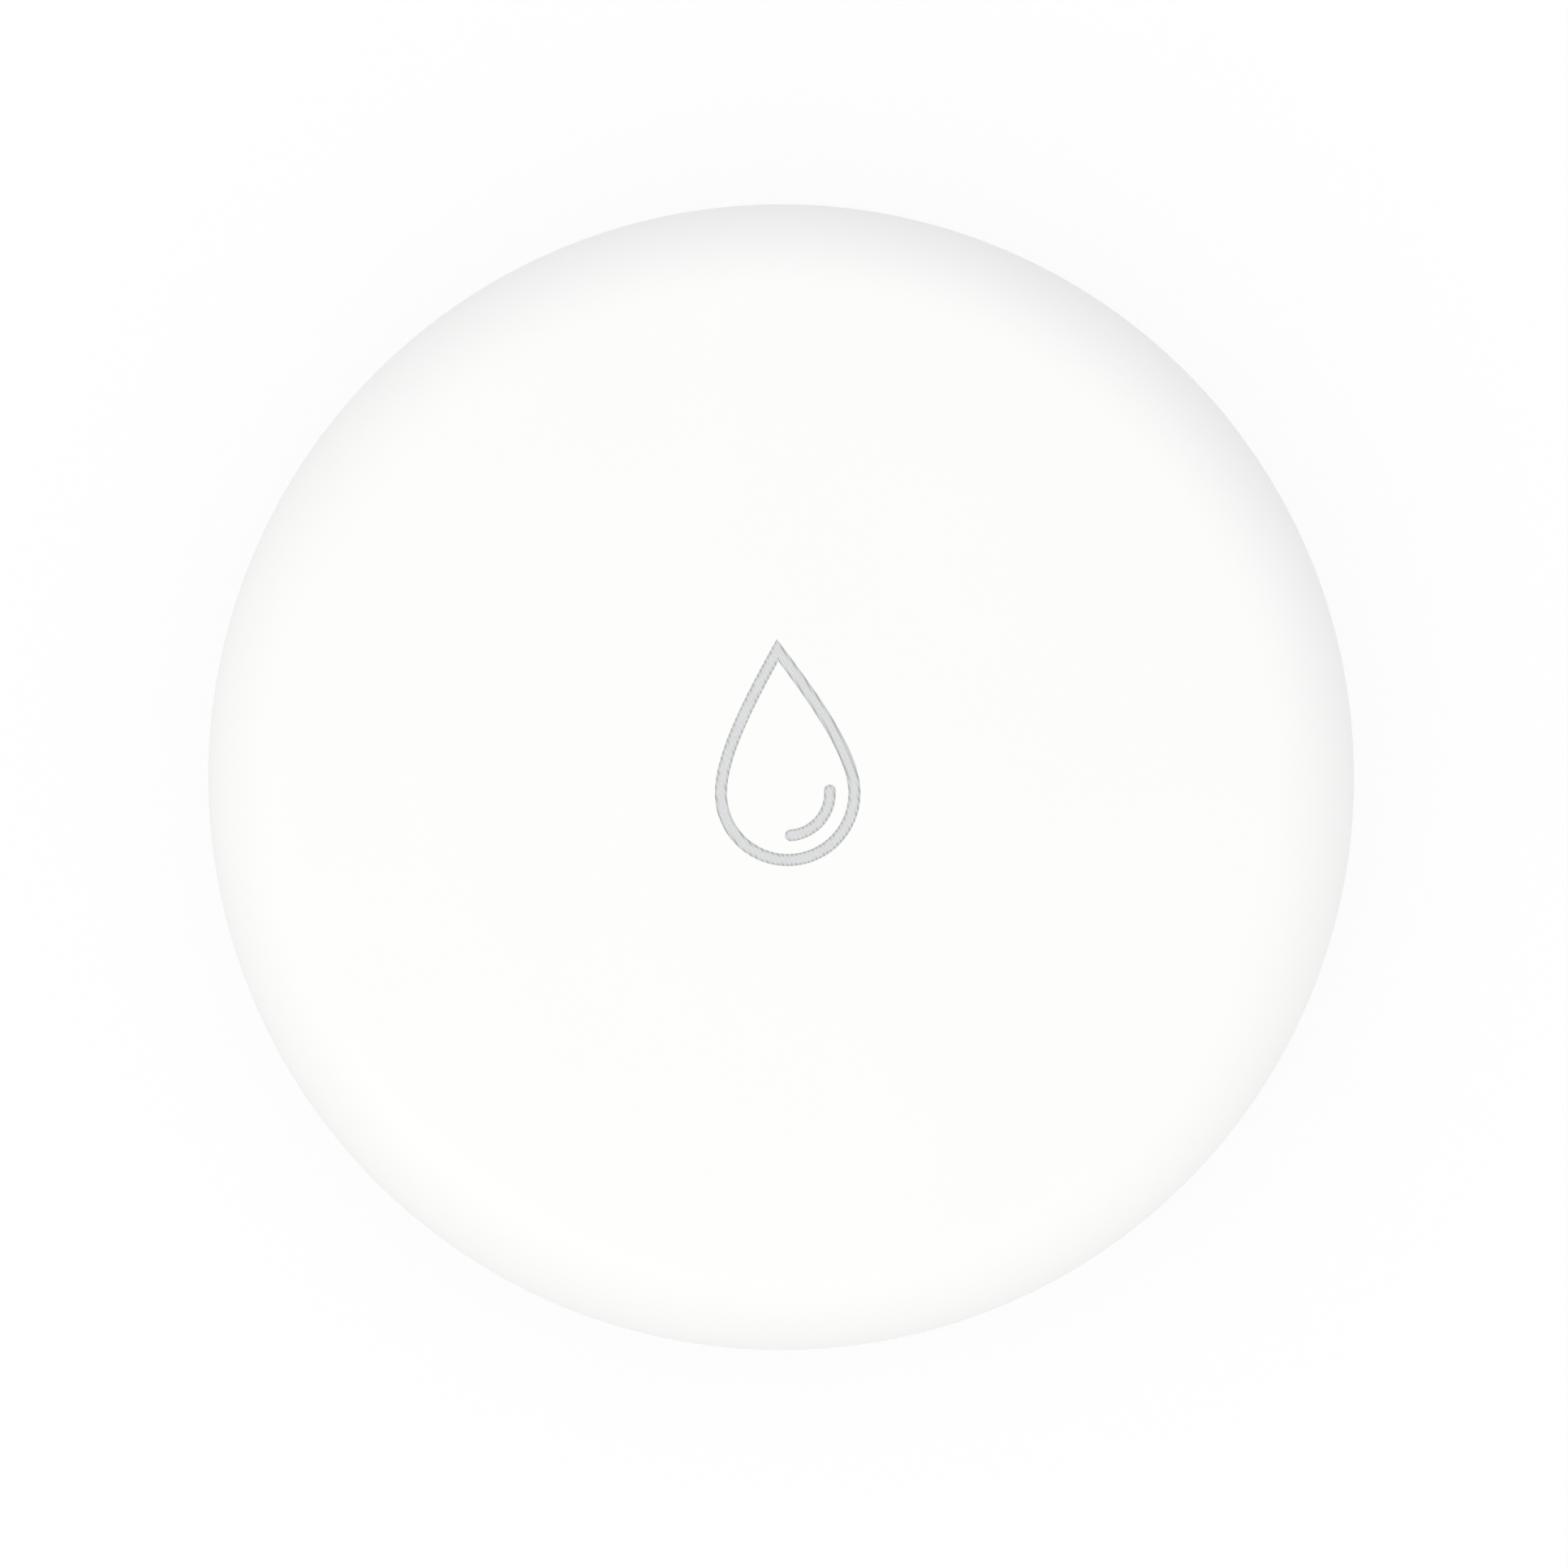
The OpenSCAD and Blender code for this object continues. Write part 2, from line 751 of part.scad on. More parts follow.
module switch_frame() {
    color("silver")
        difference() {
            translate([-switch_w / 2, -switch_w / 2, frame_z0]) cube([switch_w, switch_w, frame_t]);
            disc(plunger_r + slip, frame_z0 - lap, frame_z1 + lap);
        }
}

module switch_dome() {
    rise = flange_z0 - switch_floor_z - 2 * touch;
    bend_r = (flange_r ^ 2 + rise ^ 2) / (2 * rise);
    color("silver")
        rotate_extrude()
            intersection() {
                translate([0, flange_z0 - touch - bend_r])
                    difference() {
                        circle(bend_r);
                        circle(bend_r - dome_t);
                    }
                translate([0, switch_floor_z + touch]) square([flange_r, rise]);
            }
}

module switch_plunger() {
    color("black") {
        disc(flange_r, flange_z0, flange_z0 + flange_h);
        disc(plunger_r, flange_z0, plunger_z1);
    }
}

top_cover();
base_shell();
seam_seal();
probe_left();
probe_right();
probe_seals();
probe_inserts();
battery_door();
door_seal();
cell_can();
cell_gasket();
cell_cap();
cell_core();
circuit_board();
board_screws();
negative_contact();
positive_contact();
radio_chip();
crystal();
capacitors();
resistors();
indicator_lamp();
switch_base();
switch_frame();
switch_dome();
switch_plunger();
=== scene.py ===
"""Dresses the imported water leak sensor: finishes for every part, the drop sign, index marks and a studio."""
import json
import math

import bmesh
import bpy
from bpy.props import FloatProperty, FloatVectorProperty, IntProperty, PointerProperty
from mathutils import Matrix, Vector
from mathutils.bvhtree import BVHTree


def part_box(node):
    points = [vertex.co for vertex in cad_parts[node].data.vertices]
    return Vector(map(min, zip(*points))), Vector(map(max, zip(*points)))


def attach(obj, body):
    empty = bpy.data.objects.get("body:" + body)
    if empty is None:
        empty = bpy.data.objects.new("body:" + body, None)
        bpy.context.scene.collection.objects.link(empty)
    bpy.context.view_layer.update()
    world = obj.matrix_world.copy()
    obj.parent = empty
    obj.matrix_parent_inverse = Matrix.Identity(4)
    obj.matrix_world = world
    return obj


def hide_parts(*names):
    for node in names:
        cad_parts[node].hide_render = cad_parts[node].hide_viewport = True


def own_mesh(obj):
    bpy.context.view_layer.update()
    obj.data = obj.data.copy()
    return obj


bl_info = {
    "name": "Water Leak Sensor",
    "version": (1, 0, 0),
    "blender": (4, 5, 0),
    "location": "View3D > Sidebar > Leak Sensor",
    "description": "Finishes, drop sign, index marks and studio for a round water leak sensor",
    "category": "Object",
}

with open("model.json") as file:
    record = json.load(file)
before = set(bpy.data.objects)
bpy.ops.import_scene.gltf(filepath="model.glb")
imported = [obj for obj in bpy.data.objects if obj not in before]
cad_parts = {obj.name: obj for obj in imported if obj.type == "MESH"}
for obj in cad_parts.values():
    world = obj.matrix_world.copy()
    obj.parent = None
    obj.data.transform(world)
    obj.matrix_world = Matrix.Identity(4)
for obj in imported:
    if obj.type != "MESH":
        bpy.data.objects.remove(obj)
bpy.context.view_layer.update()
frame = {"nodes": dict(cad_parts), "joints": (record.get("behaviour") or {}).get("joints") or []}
MM = 0.001
WHITE = (1, 1, 1)

COVER_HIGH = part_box("top_cover")[1]
DOOR_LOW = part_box("battery_door")[0]
PROBE_LOW, PROBE_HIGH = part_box("probe_right")
DOME_LOW, DOME_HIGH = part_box("switch_dome")
PLUNGER_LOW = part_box("switch_plunger")[0]

# Distance that the probes' heads stand out of the base
PROBE_OUT = 0.3 * MM
# Thickness of the switch's metal dome, and a gap under the pressed plunger
DISC_SHEET = 0.1 * MM
DISC_GAP = 0.02 * MM
# Gap between the feet and the studio's floor
FLOOR_GAP = 0.01 * MM
# Corners of the drop sign that lie nearer than this become one
MERGE_GAP = 0.0005 * MM
# Steps from the middle to the rim of the metal dome, and round it
DISC_STEPS = 12
DISC_TURNS = 72
# Steps round an index mark, and round a quarter of the glint's ends
MARK_TURNS = 40
CAP_STEPS = 8
# Attribute of the drop sign: the distance from its edge, as a share of the stroke
EDGE_GAP = "edge_gap"


# Properties

def colour(name, description, default):
    return FloatVectorProperty(
        name=name, description=description, subtype="COLOR", size=3, min=0, max=1, default=default)


def length(name, description, default):
    return FloatProperty(name=name, description=description, unit="LENGTH", precision=5, default=default)


def position(name, description, default):
    return FloatVectorProperty(name=name, description=description, size=2, unit="LENGTH", default=default)


def angle(name, description, degrees):
    return FloatProperty(
        name=name, description=description, subtype="ANGLE", default=math.radians(degrees))


def share(name, description, default):
    return FloatProperty(
        name=name, description=description, subtype="FACTOR", min=0, max=1, default=default)


def level(name, description, default):
    return FloatProperty(name=name, description=description, min=0, default=default)


def count(name, description, least, default):
    return IntProperty(name=name, description=description, min=least, default=default)


def pixels(name, description, default):
    return FloatProperty(name=name, description=description, subtype="PIXEL", default=default)


class MouldingSettings(bpy.types.PropertyGroup):
    """White plastic of the cover, base and door"""

    cover_colour: colour("Cover", "Colour of the domed cover", (0.93, 0.93, 0.922))
    base_colour: colour("Base", "Colour of the base shell", (0.915, 0.915, 0.906))
    door_colour: colour("Door", "Colour of the battery door", (0.92, 0.92, 0.911))
    roughness: share("Roughness", "Roughness of the satin plastic", 0.47)
    grain_size: length("Grain size", "Width of a bump in the moulded grain", 0.12 * MM)
    grain_height: length("Grain height", "Height of the moulded grain", 0.0012 * MM)
    grain_sheen: share("Grain sheen", "How much the roughness varies over the grain", 0.08)
    flow_size: length("Flow size", "Width of the faint tone bands from moulding", 9 * MM)
    flow_depth: share("Flow depth", "How much darker the tone bands are", 0.012)


class SignSettings(bpy.types.PropertyGroup):
    """Drop sign marked on the cover by a laser"""

    belly_radius: length("Belly radius", "Outer radius of the drop's round lower end", 3.14 * MM)
    apex_height: length("Apex height", "Height of the apex over the middle of the belly", 6.67 * MM)
    upper_handle: position(
        "Upper handle", "Handle of the side's curve below the apex", (1.72 * MM, 4.05 * MM))
    lower_handle: length("Lower handle", "Height of the curve's handle over the belly", 1.68 * MM)
    stroke: length("Stroke", "Width of the drop's outline", 0.51 * MM)
    glint_radius: length("Glint radius", "Radius of the glint's middle line", 1.825 * MM)
    glint_stroke: length("Glint stroke", "Width of the glint", 0.49 * MM)
    glint_start: angle("Glint start", "Angle at which the glint begins", 0)
    glint_sweep: angle("Glint sweep", "Angle that the glint covers, clockwise", 90)
    offset: position(
        "Offset", "Middle of the belly from the middle of the cover", (0.23 * MM, -0.72 * MM))
    thickness: length("Thickness", "Thickness of the marked layer", 0.024 * MM)
    rows: count("Rows", "Steps along each side of the drop", least=8, default=56)
    columns: count("Columns", "Even number of steps across the stroke", least=2, default=6)
    hatch_pitch: length("Hatch pitch", "Distance between the laser's lines", 0.0903 * MM)
    hatch_angle: angle("Hatch angle", "Direction across the laser's lines", 19.9)
    hatch_height: length("Hatch height", "Height of the ridges along the laser's lines", 0.002 * MM)
    wobble_size: length("Wobble size", "Length over which the lines stray", 0.5 * MM)
    wobble: level("Wobble", "How far the lines stray, as a share of their pitch", 0.8)
    fibre_size: length("Fibre size", "Width of the lighter and darker spots along the lines", 0.12 * MM)
    mark_colour: colour("Mark", "Colour of the marked surface", (0.745, 0.757, 0.76))
    line_colour: colour("Line", "Colour along the laser's lines", (0.58, 0.592, 0.597))
    burn_colour: colour("Burn", "Colour where the laser's lines end", (0.33, 0.335, 0.33))
    burn_share: share("Burn width", "Share of the stroke that the darker line ends reach", 0.30)
    burn_spread: share("Burn spread", "How much the darker line ends differ in length", 0.3)


class MetalSettings(bpy.types.PropertyGroup):
    """Metals of the probes, contacts and cell"""

    nickel_colour: colour("Nickel", "Colour of the plated probes", (0.72, 0.69, 0.63))
    brass_colour: colour("Brass", "Colour of the threaded inserts", (0.80, 0.57, 0.26))
    steel_colour: colour("Steel", "Colour of the tinned contacts and screws", (0.66, 0.66, 0.65))
    cell_colour: colour("Cell", "Colour of the cell's can and cap", (0.70, 0.69, 0.67))
    turning_pitch: length("Turning pitch", "Width of the rings left by turning", 0.07 * MM)
    brush_width: length("Brush width", "Width of the fine brushed lines", 0.05 * MM)
    brush_sheen: share("Brush sheen", "How much the roughness varies over the brushed lines", 0.2)
    stain_dulling: share("Stain dulling", "How much rougher the stains are", 0.08)
    thread_pitch: length("Thread pitch", "Pitch of the probes' threads", 0.45 * MM)
    thread_depth: length("Thread depth", "Depth of the probes' threads", 0.12 * MM)
    thread_start: length("Thread start", "Height over the head's face at which the thread begins", 1.1 * MM)
    thread_fade: length("Thread fade", "Height over which the thread reaches its depth", 0.3 * MM)


class ElectronicsSettings(bpy.types.PropertyGroup):
    """Board, chips, seals and the inside of the cell"""

    mask_colour: colour("Solder mask", "Colour of the board between its tracks", (0.012, 0.085, 0.03))
    track_colour: colour("Tracks", "Colour of the board over its copper tracks", (0.03, 0.16, 0.055))
    resin_colour: colour("Resin", "Colour of the chips and the switch", (0.018, 0.018, 0.02))
    tin_colour: colour("Tin", "Colour of the small parts' end caps", (0.72, 0.72, 0.70))
    ceramic_colour: colour("Ceramic", "Colour of the capacitors", (0.42, 0.28, 0.16))
    lamp_colour: colour("Lamp", "Colour of the indicator lamp", (0.90, 0.86, 0.66))
    phosphor_colour: colour("Phosphor", "Colour of the lamp's middle", (0.93, 0.78, 0.22))
    rubber_colour: colour("Rubber", "Colour of the seals", (0.035, 0.035, 0.037))
    gasket_colour: colour("Gasket", "Colour of the cell's gasket", (0.16, 0.16, 0.165))
    core_colour: colour("Core", "Colour of the cell's pressed core", (0.03, 0.029, 0.028))
    track_pitch: length("Track pitch", "Distance between the board's tracks", 0.5 * MM)
    track_cell: length("Track cell", "Size of the fields in which tracks run one way", 4 * MM)
    cap_width: length("Cap width", "Width of the small parts' end caps", 0.3 * MM)


class IndexSettings(bpy.types.PropertyGroup):
    """Raised marks that show how the battery door is turned"""

    ring_radius: length("Mark circle", "Distance of the base's marks from the middle", 14.7 * MM)
    dot_radius: length("Dot radius", "Radius of the marks on the base", 0.6 * MM)
    bore: share("Bore", "Bore of the open mark, as a share of its width", 0.55)
    pointer_radius: length("Pointer circle", "Distance of the door's pointer from the middle", 10.3 * MM)
    pointer_size: length("Pointer size", "Height of the door's pointer", 2 * MM)
    height: length("Height", "Distance that the marks stand out", 0.12 * MM)
    root: length("Root", "Depth of the marks' roots in the plastic", 0.1 * MM)
    bevel: length("Bevel", "Width of the marks' bevelled edges", 0.03 * MM)
    locked_angle: angle("Locked", "Direction of the locked mark", -90)
    open_angle: angle("Open", "Direction of the open mark", -135)


class StageSettings(bpy.types.PropertyGroup):
    """Studio round the sensor and the camera above it"""

    sky_level: level("Sky", "Strength of the white surroundings", 1.058)
    key_level: level("Key", "Light that the soft lamp adds to a surface that faces it", 0.028)
    key_elevation: angle("Key elevation", "Height of the soft lamp over the horizon", 57)
    key_azimuth: angle("Key azimuth", "Direction of the soft lamp round the sensor", 229)
    key_distance: length("Key distance", "Distance of the soft lamp", 0.9)
    key_size: length("Key size", "Side of the soft lamp", 0.5)
    card_colour: colour("Card", "Colour of the dark card opposite the lamp", (0.14, 0.0, 0.09))
    card_azimuth: angle("Card azimuth", "Direction of the dark card round the sensor", 60)
    card_elevation: angle("Card elevation", "Height of the card's middle over the horizon", -1)
    card_core: angle("Card core", "Angle from the card's middle inside which it is darkest", 22)
    card_spread: angle("Card spread", "Angle from the card's middle to its soft edge", 31)
    floor_colour: colour("Floor", "Colour of the floor in the light that it reflects", (0.735, 0.735, 0.735))
    floor_seen: colour("Floor as seen", "Colour of the floor in the picture", (0.95, 0.95, 0.95))
    # Painted light: a white glow over the floor beside the case thins the sensor's shadow there
    floor_glow: share("Floor glow", "Share of the floor's own white, which thins the shadow", 0.85)
    contact_radius: length("Contact radius", "Radius inside which the shadow is whole", 0.019)
    floor_side: length("Floor side", "Side of the floor", 40.0)
    # Painted light: a pool of white painted on the floor round the sensor, fading to the backdrop's grey
    pool_radius: length("Pool radius", "Radius of the white floor round the sensor", 0.05)
    pool_fade: length("Pool fade", "Radius at which the floor has the backdrop's colour", 0.6)
    backdrop_colour: colour("Backdrop", "Colour of the far floor and the horizon", (0.68, 0.68, 0.68))
    backdrop_rise: angle("Backdrop rise", "Height over the horizon at which the backdrop is white", 50)
    camera_height: length("Camera height", "Height of the camera over the floor", 0.5)
    camera_roll: angle("Camera roll", "Turn of the camera against the drop sign", -4.07)
    picture_side: pixels("Picture side", "Side of the picture", 1932)
    outline_radius: pixels("Outline radius", "Radius of the case in the picture", 705.9)
    outline_middle: FloatVectorProperty(
        name="Outline middle", description="Middle of the case in the picture, from its upper left",
        size=2, subtype="COORDINATES", default=(962.55, 957.55))


class LeakSensorSettings(bpy.types.PropertyGroup):
    """All settings of the sensor"""

    moulding: PointerProperty(type=MouldingSettings, name="Mouldings")
    sign: PointerProperty(type=SignSettings, name="Drop sign")
    metal: PointerProperty(type=MetalSettings, name="Metals")
    electronics: PointerProperty(type=ElectronicsSettings, name="Electronics")
    index: PointerProperty(type=IndexSettings, name="Index marks")
    stage: PointerProperty(type=StageSettings, name="Studio")


# Shader expressions

class Wire:
    """A socket's value in an expression: each operator adds one Math node."""

    def __init__(self, finish, socket):
        self.finish = finish
        self.socket = socket

    def __add__(self, other):
        return self.finish.math("ADD", self, other)

    def __radd__(self, other):
        return self.finish.math("ADD", other, self)

    def __sub__(self, other):
        return self.finish.math("SUBTRACT", self, other)

    def __rsub__(self, other):
        return self.finish.math("SUBTRACT", other, self)

    def __mul__(self, other):
        return self.finish.math("MULTIPLY", self, other)

    def __rmul__(self, other):
        return self.finish.math("MULTIPLY", other, self)

    def __truediv__(self, other):
        return self.finish.math("DIVIDE", self, other)

    def __rtruediv__(self, other):
        return self.finish.math("DIVIDE", other, self)


class Finish:
    """The node tree of a material or the world, emptied and ready to be filled."""

    def __init__(self, owner):
        owner.use_nodes = True
        self.owner = owner
        self.tree = owner.node_tree
        self.tree.nodes.clear()

    def node(self, kind, settings=None, inputs=None, output=0):
        """Adds a node, with its settings first and then its sockets, and gives one of its outputs."""
        made = self.tree.nodes.new(kind)
        for name, value in (settings or {}).items():
            setattr(made, name, value)
        for key, value in (inputs or {}).items():
            socket = made.inputs[key]
            if isinstance(value, Wire):
                self.tree.links.new(value.socket, socket)
            elif socket.type == "RGBA":
                socket.default_value = (*value, 1)
            else:
                socket.default_value = value
        return Wire(self, made.outputs[output]) if made.outputs else made

    def math(self, operation, first, second=0.0):
        return self.node("ShaderNodeMath", {"operation": operation}, {0: first, 1: second})

    def vector(self, operation, first, second=(0, 0, 0), output=0):
        return self.node("ShaderNodeVectorMath", {"operation": operation}, {0: first, 1: second}, output)

    def place(self):
        """Place on the sensor at rest, in metres."""
        return self.node("ShaderNodeTexCoord", output="Object")

    def along(self, direction, place=None):
        """Distance along a direction."""
        return self.vector("DOT_PRODUCT", place or self.place(), direction, "Value")

    def radius(self, place=None):
        """Distance from the upright axis."""
        flat = self.vector("MULTIPLY", place or self.place(), (1, 1, 0))
        return self.vector("LENGTH", flat, output="Value")

    def noise(self, size, detail=2.0, stretch=(1, 1, 1)):
        """Soft noise with bumps of a size, drawn out along axes with a small stretch."""
        place = self.vector("MULTIPLY", self.place(), stretch)
        return self.node(
            "ShaderNodeTexNoise", inputs={"Vector": place, "Scale": 1 / size, "Detail": detail})

    def rings(self, distance, width):
        """Noise that changes only with a distance, as turning or brushing leaves it."""
        return self.node(
            "ShaderNodeTexNoise", {"noise_dimensions": "1D"},
            {"W": distance, "Scale": 1 / width, "Detail": 2.0})

    def chance(self, number):
        """A random share for each whole number."""
        return self.node("ShaderNodeTexWhiteNoise", {"noise_dimensions": "1D"}, {"W": number})

    def wave(self, turns):
        """Cosine wave from 0 to 1, with its crests at whole turns."""
        return self.math("COSINE", turns * (2 * math.pi)) * 0.5 + 0.5

    def ease(self, value, low, high):
        """Smooth step from 0 at low to 1 at high."""
        return self.node(
            "ShaderNodeMapRange", {"interpolation_type": "SMOOTHSTEP"},
            {"Value": value, "From Min": low, "From Max": high})

    def blend(self, factor, first, second):
        """Mix of two colours."""
        return self.node("ShaderNodeMix", {"data_type": "RGBA"}, {0: factor, 6: first, 7: second}, 2)

    def shader_mix(self, factor, first, second):
        """Mix of two shaders."""
        return self.node("ShaderNodeMixShader", inputs={0: factor, 1: first, 2: second})

    def bump(self, height, depth):
        """Normal of a surface raised by height times depth."""
        return self.node("ShaderNodeBump", inputs={"Height": height, "Distance": depth})

    def surface(self, inputs):
        """Closes a material with the main shader, and gives the material."""
        shader = self.node("ShaderNodeBsdfPrincipled", inputs=inputs)
        self.node("ShaderNodeOutputMaterial", inputs={"Surface": shader})
        return self.owner


def new_finish(name):
    return Finish(bpy.data.materials.new(name))


def between(low, high, factor):
    """Value on the way from low, at a factor of 0, to high, at a factor of 1."""
    return low + (high - low) * factor


def shade(tint, factor):
    """Colour made darker by a factor under 1, or paler by one above it."""
    return tuple(channel * factor for channel in tint)


def dress(finish, *names):
    """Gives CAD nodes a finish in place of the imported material."""
    for name in names:
        frame["nodes"][name].material_slots[0].material = finish


# Finishes

def satin_plastic(name, tint, moulding):
    """White moulding with a fine grain and faint bands of tone."""
    finish = new_finish(name)
    grain = finish.noise(moulding.grain_size)
    flow = finish.noise(moulding.flow_size)
    sheen = moulding.grain_sheen / 2
    return finish.surface({
        "Base Color": finish.blend(flow, shade(tint, 1 - moulding.flow_depth), tint),
        "Roughness": between(moulding.roughness - sheen, moulding.roughness + sheen, grain),
        "Normal": finish.bump(grain, moulding.grain_height)})


def laser_mark(name, sign):
    """Hatch of grey lines, every second one a little darker and burnt at its ends on the stroke's edges."""
    finish = new_finish(name)
    fibre_range = (0.02, 1.82)
    second_line_share = 0.08
    dash_edges = (0.2, 0.8)
    burn_range = (0.12, 0.72)
    whole_burn = 0.25
    across = (math.cos(sign.hatch_angle), math.sin(sign.hatch_angle), 0)
    wobble = finish.noise(sign.wobble_size) * sign.wobble
    turns = finish.along(across) / sign.hatch_pitch + wobble
    pairs = turns / 2
    line = finish.wave(turns)
    second_line = finish.wave(pairs)
    fibre = finish.noise(sign.fibre_size)
    strength = line * between(*fibre_range, fibre) + second_line * second_line_share
    chance = finish.chance(finish.math("ROUND", pairs))
    reach = sign.burn_share * between(1 - sign.burn_spread, 1 + sign.burn_spread, chance)
    edge_gap = finish.node("ShaderNodeAttribute", {"attribute_name": EDGE_GAP}, output="Fac")
    line_end = 1 - finish.ease(edge_gap / reach, whole_burn, 1.0)
    burnt = line_end * between(*burn_range, finish.ease(second_line, *dash_edges))
    body = finish.blend(strength, sign.mark_colour, sign.line_colour)
    return finish.surface({
        "Base Color": finish.blend(burnt, body, sign.burn_colour),
        "Roughness": between(0.55, 0.65, burnt),
        "Normal": finish.bump(line, sign.hatch_height)})


def rubber(name, tint):
    """Soft rubber with a paler bloom."""
    finish = new_finish(name)
    bloom = finish.noise(size=0.6 * MM)
    grain = finish.noise(size=0.06 * MM)
    bloomed = shade(tint, 1.6)
    return finish.surface({
        "Base Color": finish.blend(bloom, tint, bloomed),
        "Roughness": between(0.62, 0.82, bloom),
        "Normal": finish.bump(grain, depth=0.004 * MM)})


def turned_nickel(name, metal):
    """Plated screws with turned rings on their heads and threads on their shanks."""
    finish = new_finish(name)
    ring_share = 0.02
    middle = (PROBE_LOW + PROBE_HIGH) / 2
    mirrored = finish.vector("ABSOLUTE", finish.place())
    from_axis = finish.radius(finish.vector("SUBTRACT", mirrored, (middle.x, 0, 0)))
    height = finish.along((0, 0, 1))
    rings = finish.rings(from_axis, metal.turning_pitch)
    start = PROBE_LOW.z + metal.thread_start
    on_shank = finish.ease(height, start, start + metal.thread_fade)
    thread = finish.wave(height / metal.thread_pitch) * on_shank
    dull = shade(metal.nickel_colour, 0.86)
    return finish.surface({
        "Base Color": finish.blend(rings, dull, metal.nickel_colour),
        "Metallic": 1.0,
        "Roughness": between(0.2, 0.36, rings),
        "Normal": finish.bump(rings * ring_share + thread, metal.thread_depth)})


def brushed_metal(name, tint, metal, roughness, stretch):
    """Metal with fine lines drawn out along an axis, and faint stains."""
    finish = new_finish(name)
    line_share = 0.6
    lines = finish.noise(metal.brush_width, stretch=stretch)
    stain = finish.noise(size=2.5 * MM)
    wear = lines * line_share + stain * (1 - line_share)
    worn = shade(tint, 0.84)
    sheen = metal.brush_sheen / 2
    return finish.surface({
        "Base Color": finish.blend(wear, worn, tint),
        "Metallic": 1.0,
        "Roughness": between(roughness - sheen, roughness + sheen, lines) + stain * metal.stain_dulling,
        "Normal": finish.bump(lines, depth=0.0015 * MM)})


def cell_steel(name, metal):
    """Plated sheet with fine rings and faint stains."""
    finish = new_finish(name)
    rings = finish.rings(finish.radius(), metal.brush_width)
    stain = finish.noise(size=3 * MM)
    worn = shade(metal.cell_colour, 0.85)
    return finish.surface({
        "Base Color": finish.blend((rings + stain) / 2, worn, metal.cell_colour),
        "Metallic": 1.0,
        "Roughness": between(0.22, 0.36, rings) + stain * metal.stain_dulling,
        "Normal": finish.bump(rings, depth=0.002 * MM)})


def printed_board(name, electronics):
    """Solder mask over tracks that run up or across, field by field, with some fields left bare."""
    finish = new_finish(name)
    upright_share = 0.5
    bare_share = 0.25
    track_edges = (0.45, 0.62)
    field = finish.node(
        "ShaderNodeTexVoronoi", {"distance": "CHEBYCHEV"},
        {"Vector": finish.place(), "Scale": 1 / electronics.track_cell}, "Color")
    upright = finish.math("GREATER_THAN", finish.along((1, 0, 0), field), upright_share)
    used = finish.math("GREATER_THAN", finish.along((0, 1, 0), field), bare_share)
    runs_up = finish.wave(finish.along((1 / electronics.track_pitch, 0, 0)))
    runs_across = finish.wave(finish.along((0, 1 / electronics.track_pitch, 0)))
    run = runs_up * upright + runs_across * (1 - upright)
    track = finish.ease(run, *track_edges) * used
    weave = finish.noise(size=0.3 * MM)
    woven = shade(electronics.mask_colour, 1.35)
    mask = finish.blend(weave, electronics.mask_colour, woven)
    return finish.surface({
        "Base Color": finish.blend(track, mask, electronics.track_colour),
        "Roughness": between(0.3, 0.42, weave),
        "Normal": finish.bump(track, depth=0.02 * MM)})


def moulded_resin(name, tint):
    """Dull resin with a fine grain and cloudy tones."""
    finish = new_finish(name)
    grain = finish.noise(size=0.08 * MM)
    cloud = finish.noise(size=1.4 * MM)
    clouded = shade(tint, 1.5)
    return finish.surface({
        "Base Color": finish.blend(cloud, tint, clouded),
        "Roughness": between(0.42, 0.62, grain),
        "Normal": finish.bump(grain, depth=0.005 * MM)})


def capped_part(name, node, tint, electronics):
    """Body of a small part with tinned caps at both ends."""
    finish = new_finish(name)
    cap_gloss = 0.18
    low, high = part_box(node)
    from_middle = finish.math("ABSOLUTE", finish.along((1, 0, 0)) - (low.x + high.x) / 2)
    cap = finish.math("GREATER_THAN", from_middle, (high.x - low.x) / 2 - electronics.cap_width)
    speck = finish.noise(size=0.1 * MM)
    dark = shade(tint, 0.8)
    pale = shade(tint, 1.15)
    body = finish.blend(speck, dark, pale)
    return finish.surface({
        "Base Color": finish.blend(cap, body, electronics.tin_colour),
        "Metallic": cap,
        "Roughness": between(0.5, 0.6, speck) - cap * cap_gloss,
        "Normal": finish.bump(speck, depth=0.004 * MM)})


def clear_lens(name, electronics):
    """Clear resin over a yellow middle."""
    finish = new_finish(name)
    phosphor_radius = 0.25 * MM
    lens_radius = 0.75 * MM
    low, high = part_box("indicator_lamp")
    from_middle = finish.radius(finish.vector("SUBTRACT", finish.place(), (low + high) / 2))
    rim = finish.ease(from_middle, phosphor_radius, lens_radius)
    haze = finish.noise(size=0.15 * MM)
    return finish.surface({
        "Base Color": finish.blend(rim, electronics.phosphor_colour, electronics.lamp_colour),
        "Roughness": between(0.12, 0.24, haze),
        "Coat Weight": 0.6})


def pressed_powder(name, tint):
    """Rough dark powder with paler grains."""
    finish = new_finish(name)
    grain = finish.noise(size=0.09 * MM, detail=4.0)
    dark = shade(tint, 0.5)
    pale = shade(tint, 2.2)
    return finish.surface({
        "Base Color": finish.blend(grain, dark, pale),
        "Roughness": between(0.85, 0.95, grain),
        "Normal": finish.bump(grain, depth=0.02 * MM)})


# Meshes

def new_piece(name, mesh, finish, body):
    """Puts a finished mesh on a CAD body, with its finish and the slot it belongs to."""
    data = bpy.data.meshes.new(name)
    bmesh.ops.recalc_face_normals(mesh, faces=mesh.faces)
    mesh.to_mesh(data)
    mesh.free()
    data.shade_smooth()
    data.materials.append(finish)
    piece = bpy.data.objects.new(name, data)
    bpy.context.scene.collection.objects.link(piece)
    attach(piece, body)
    return piece


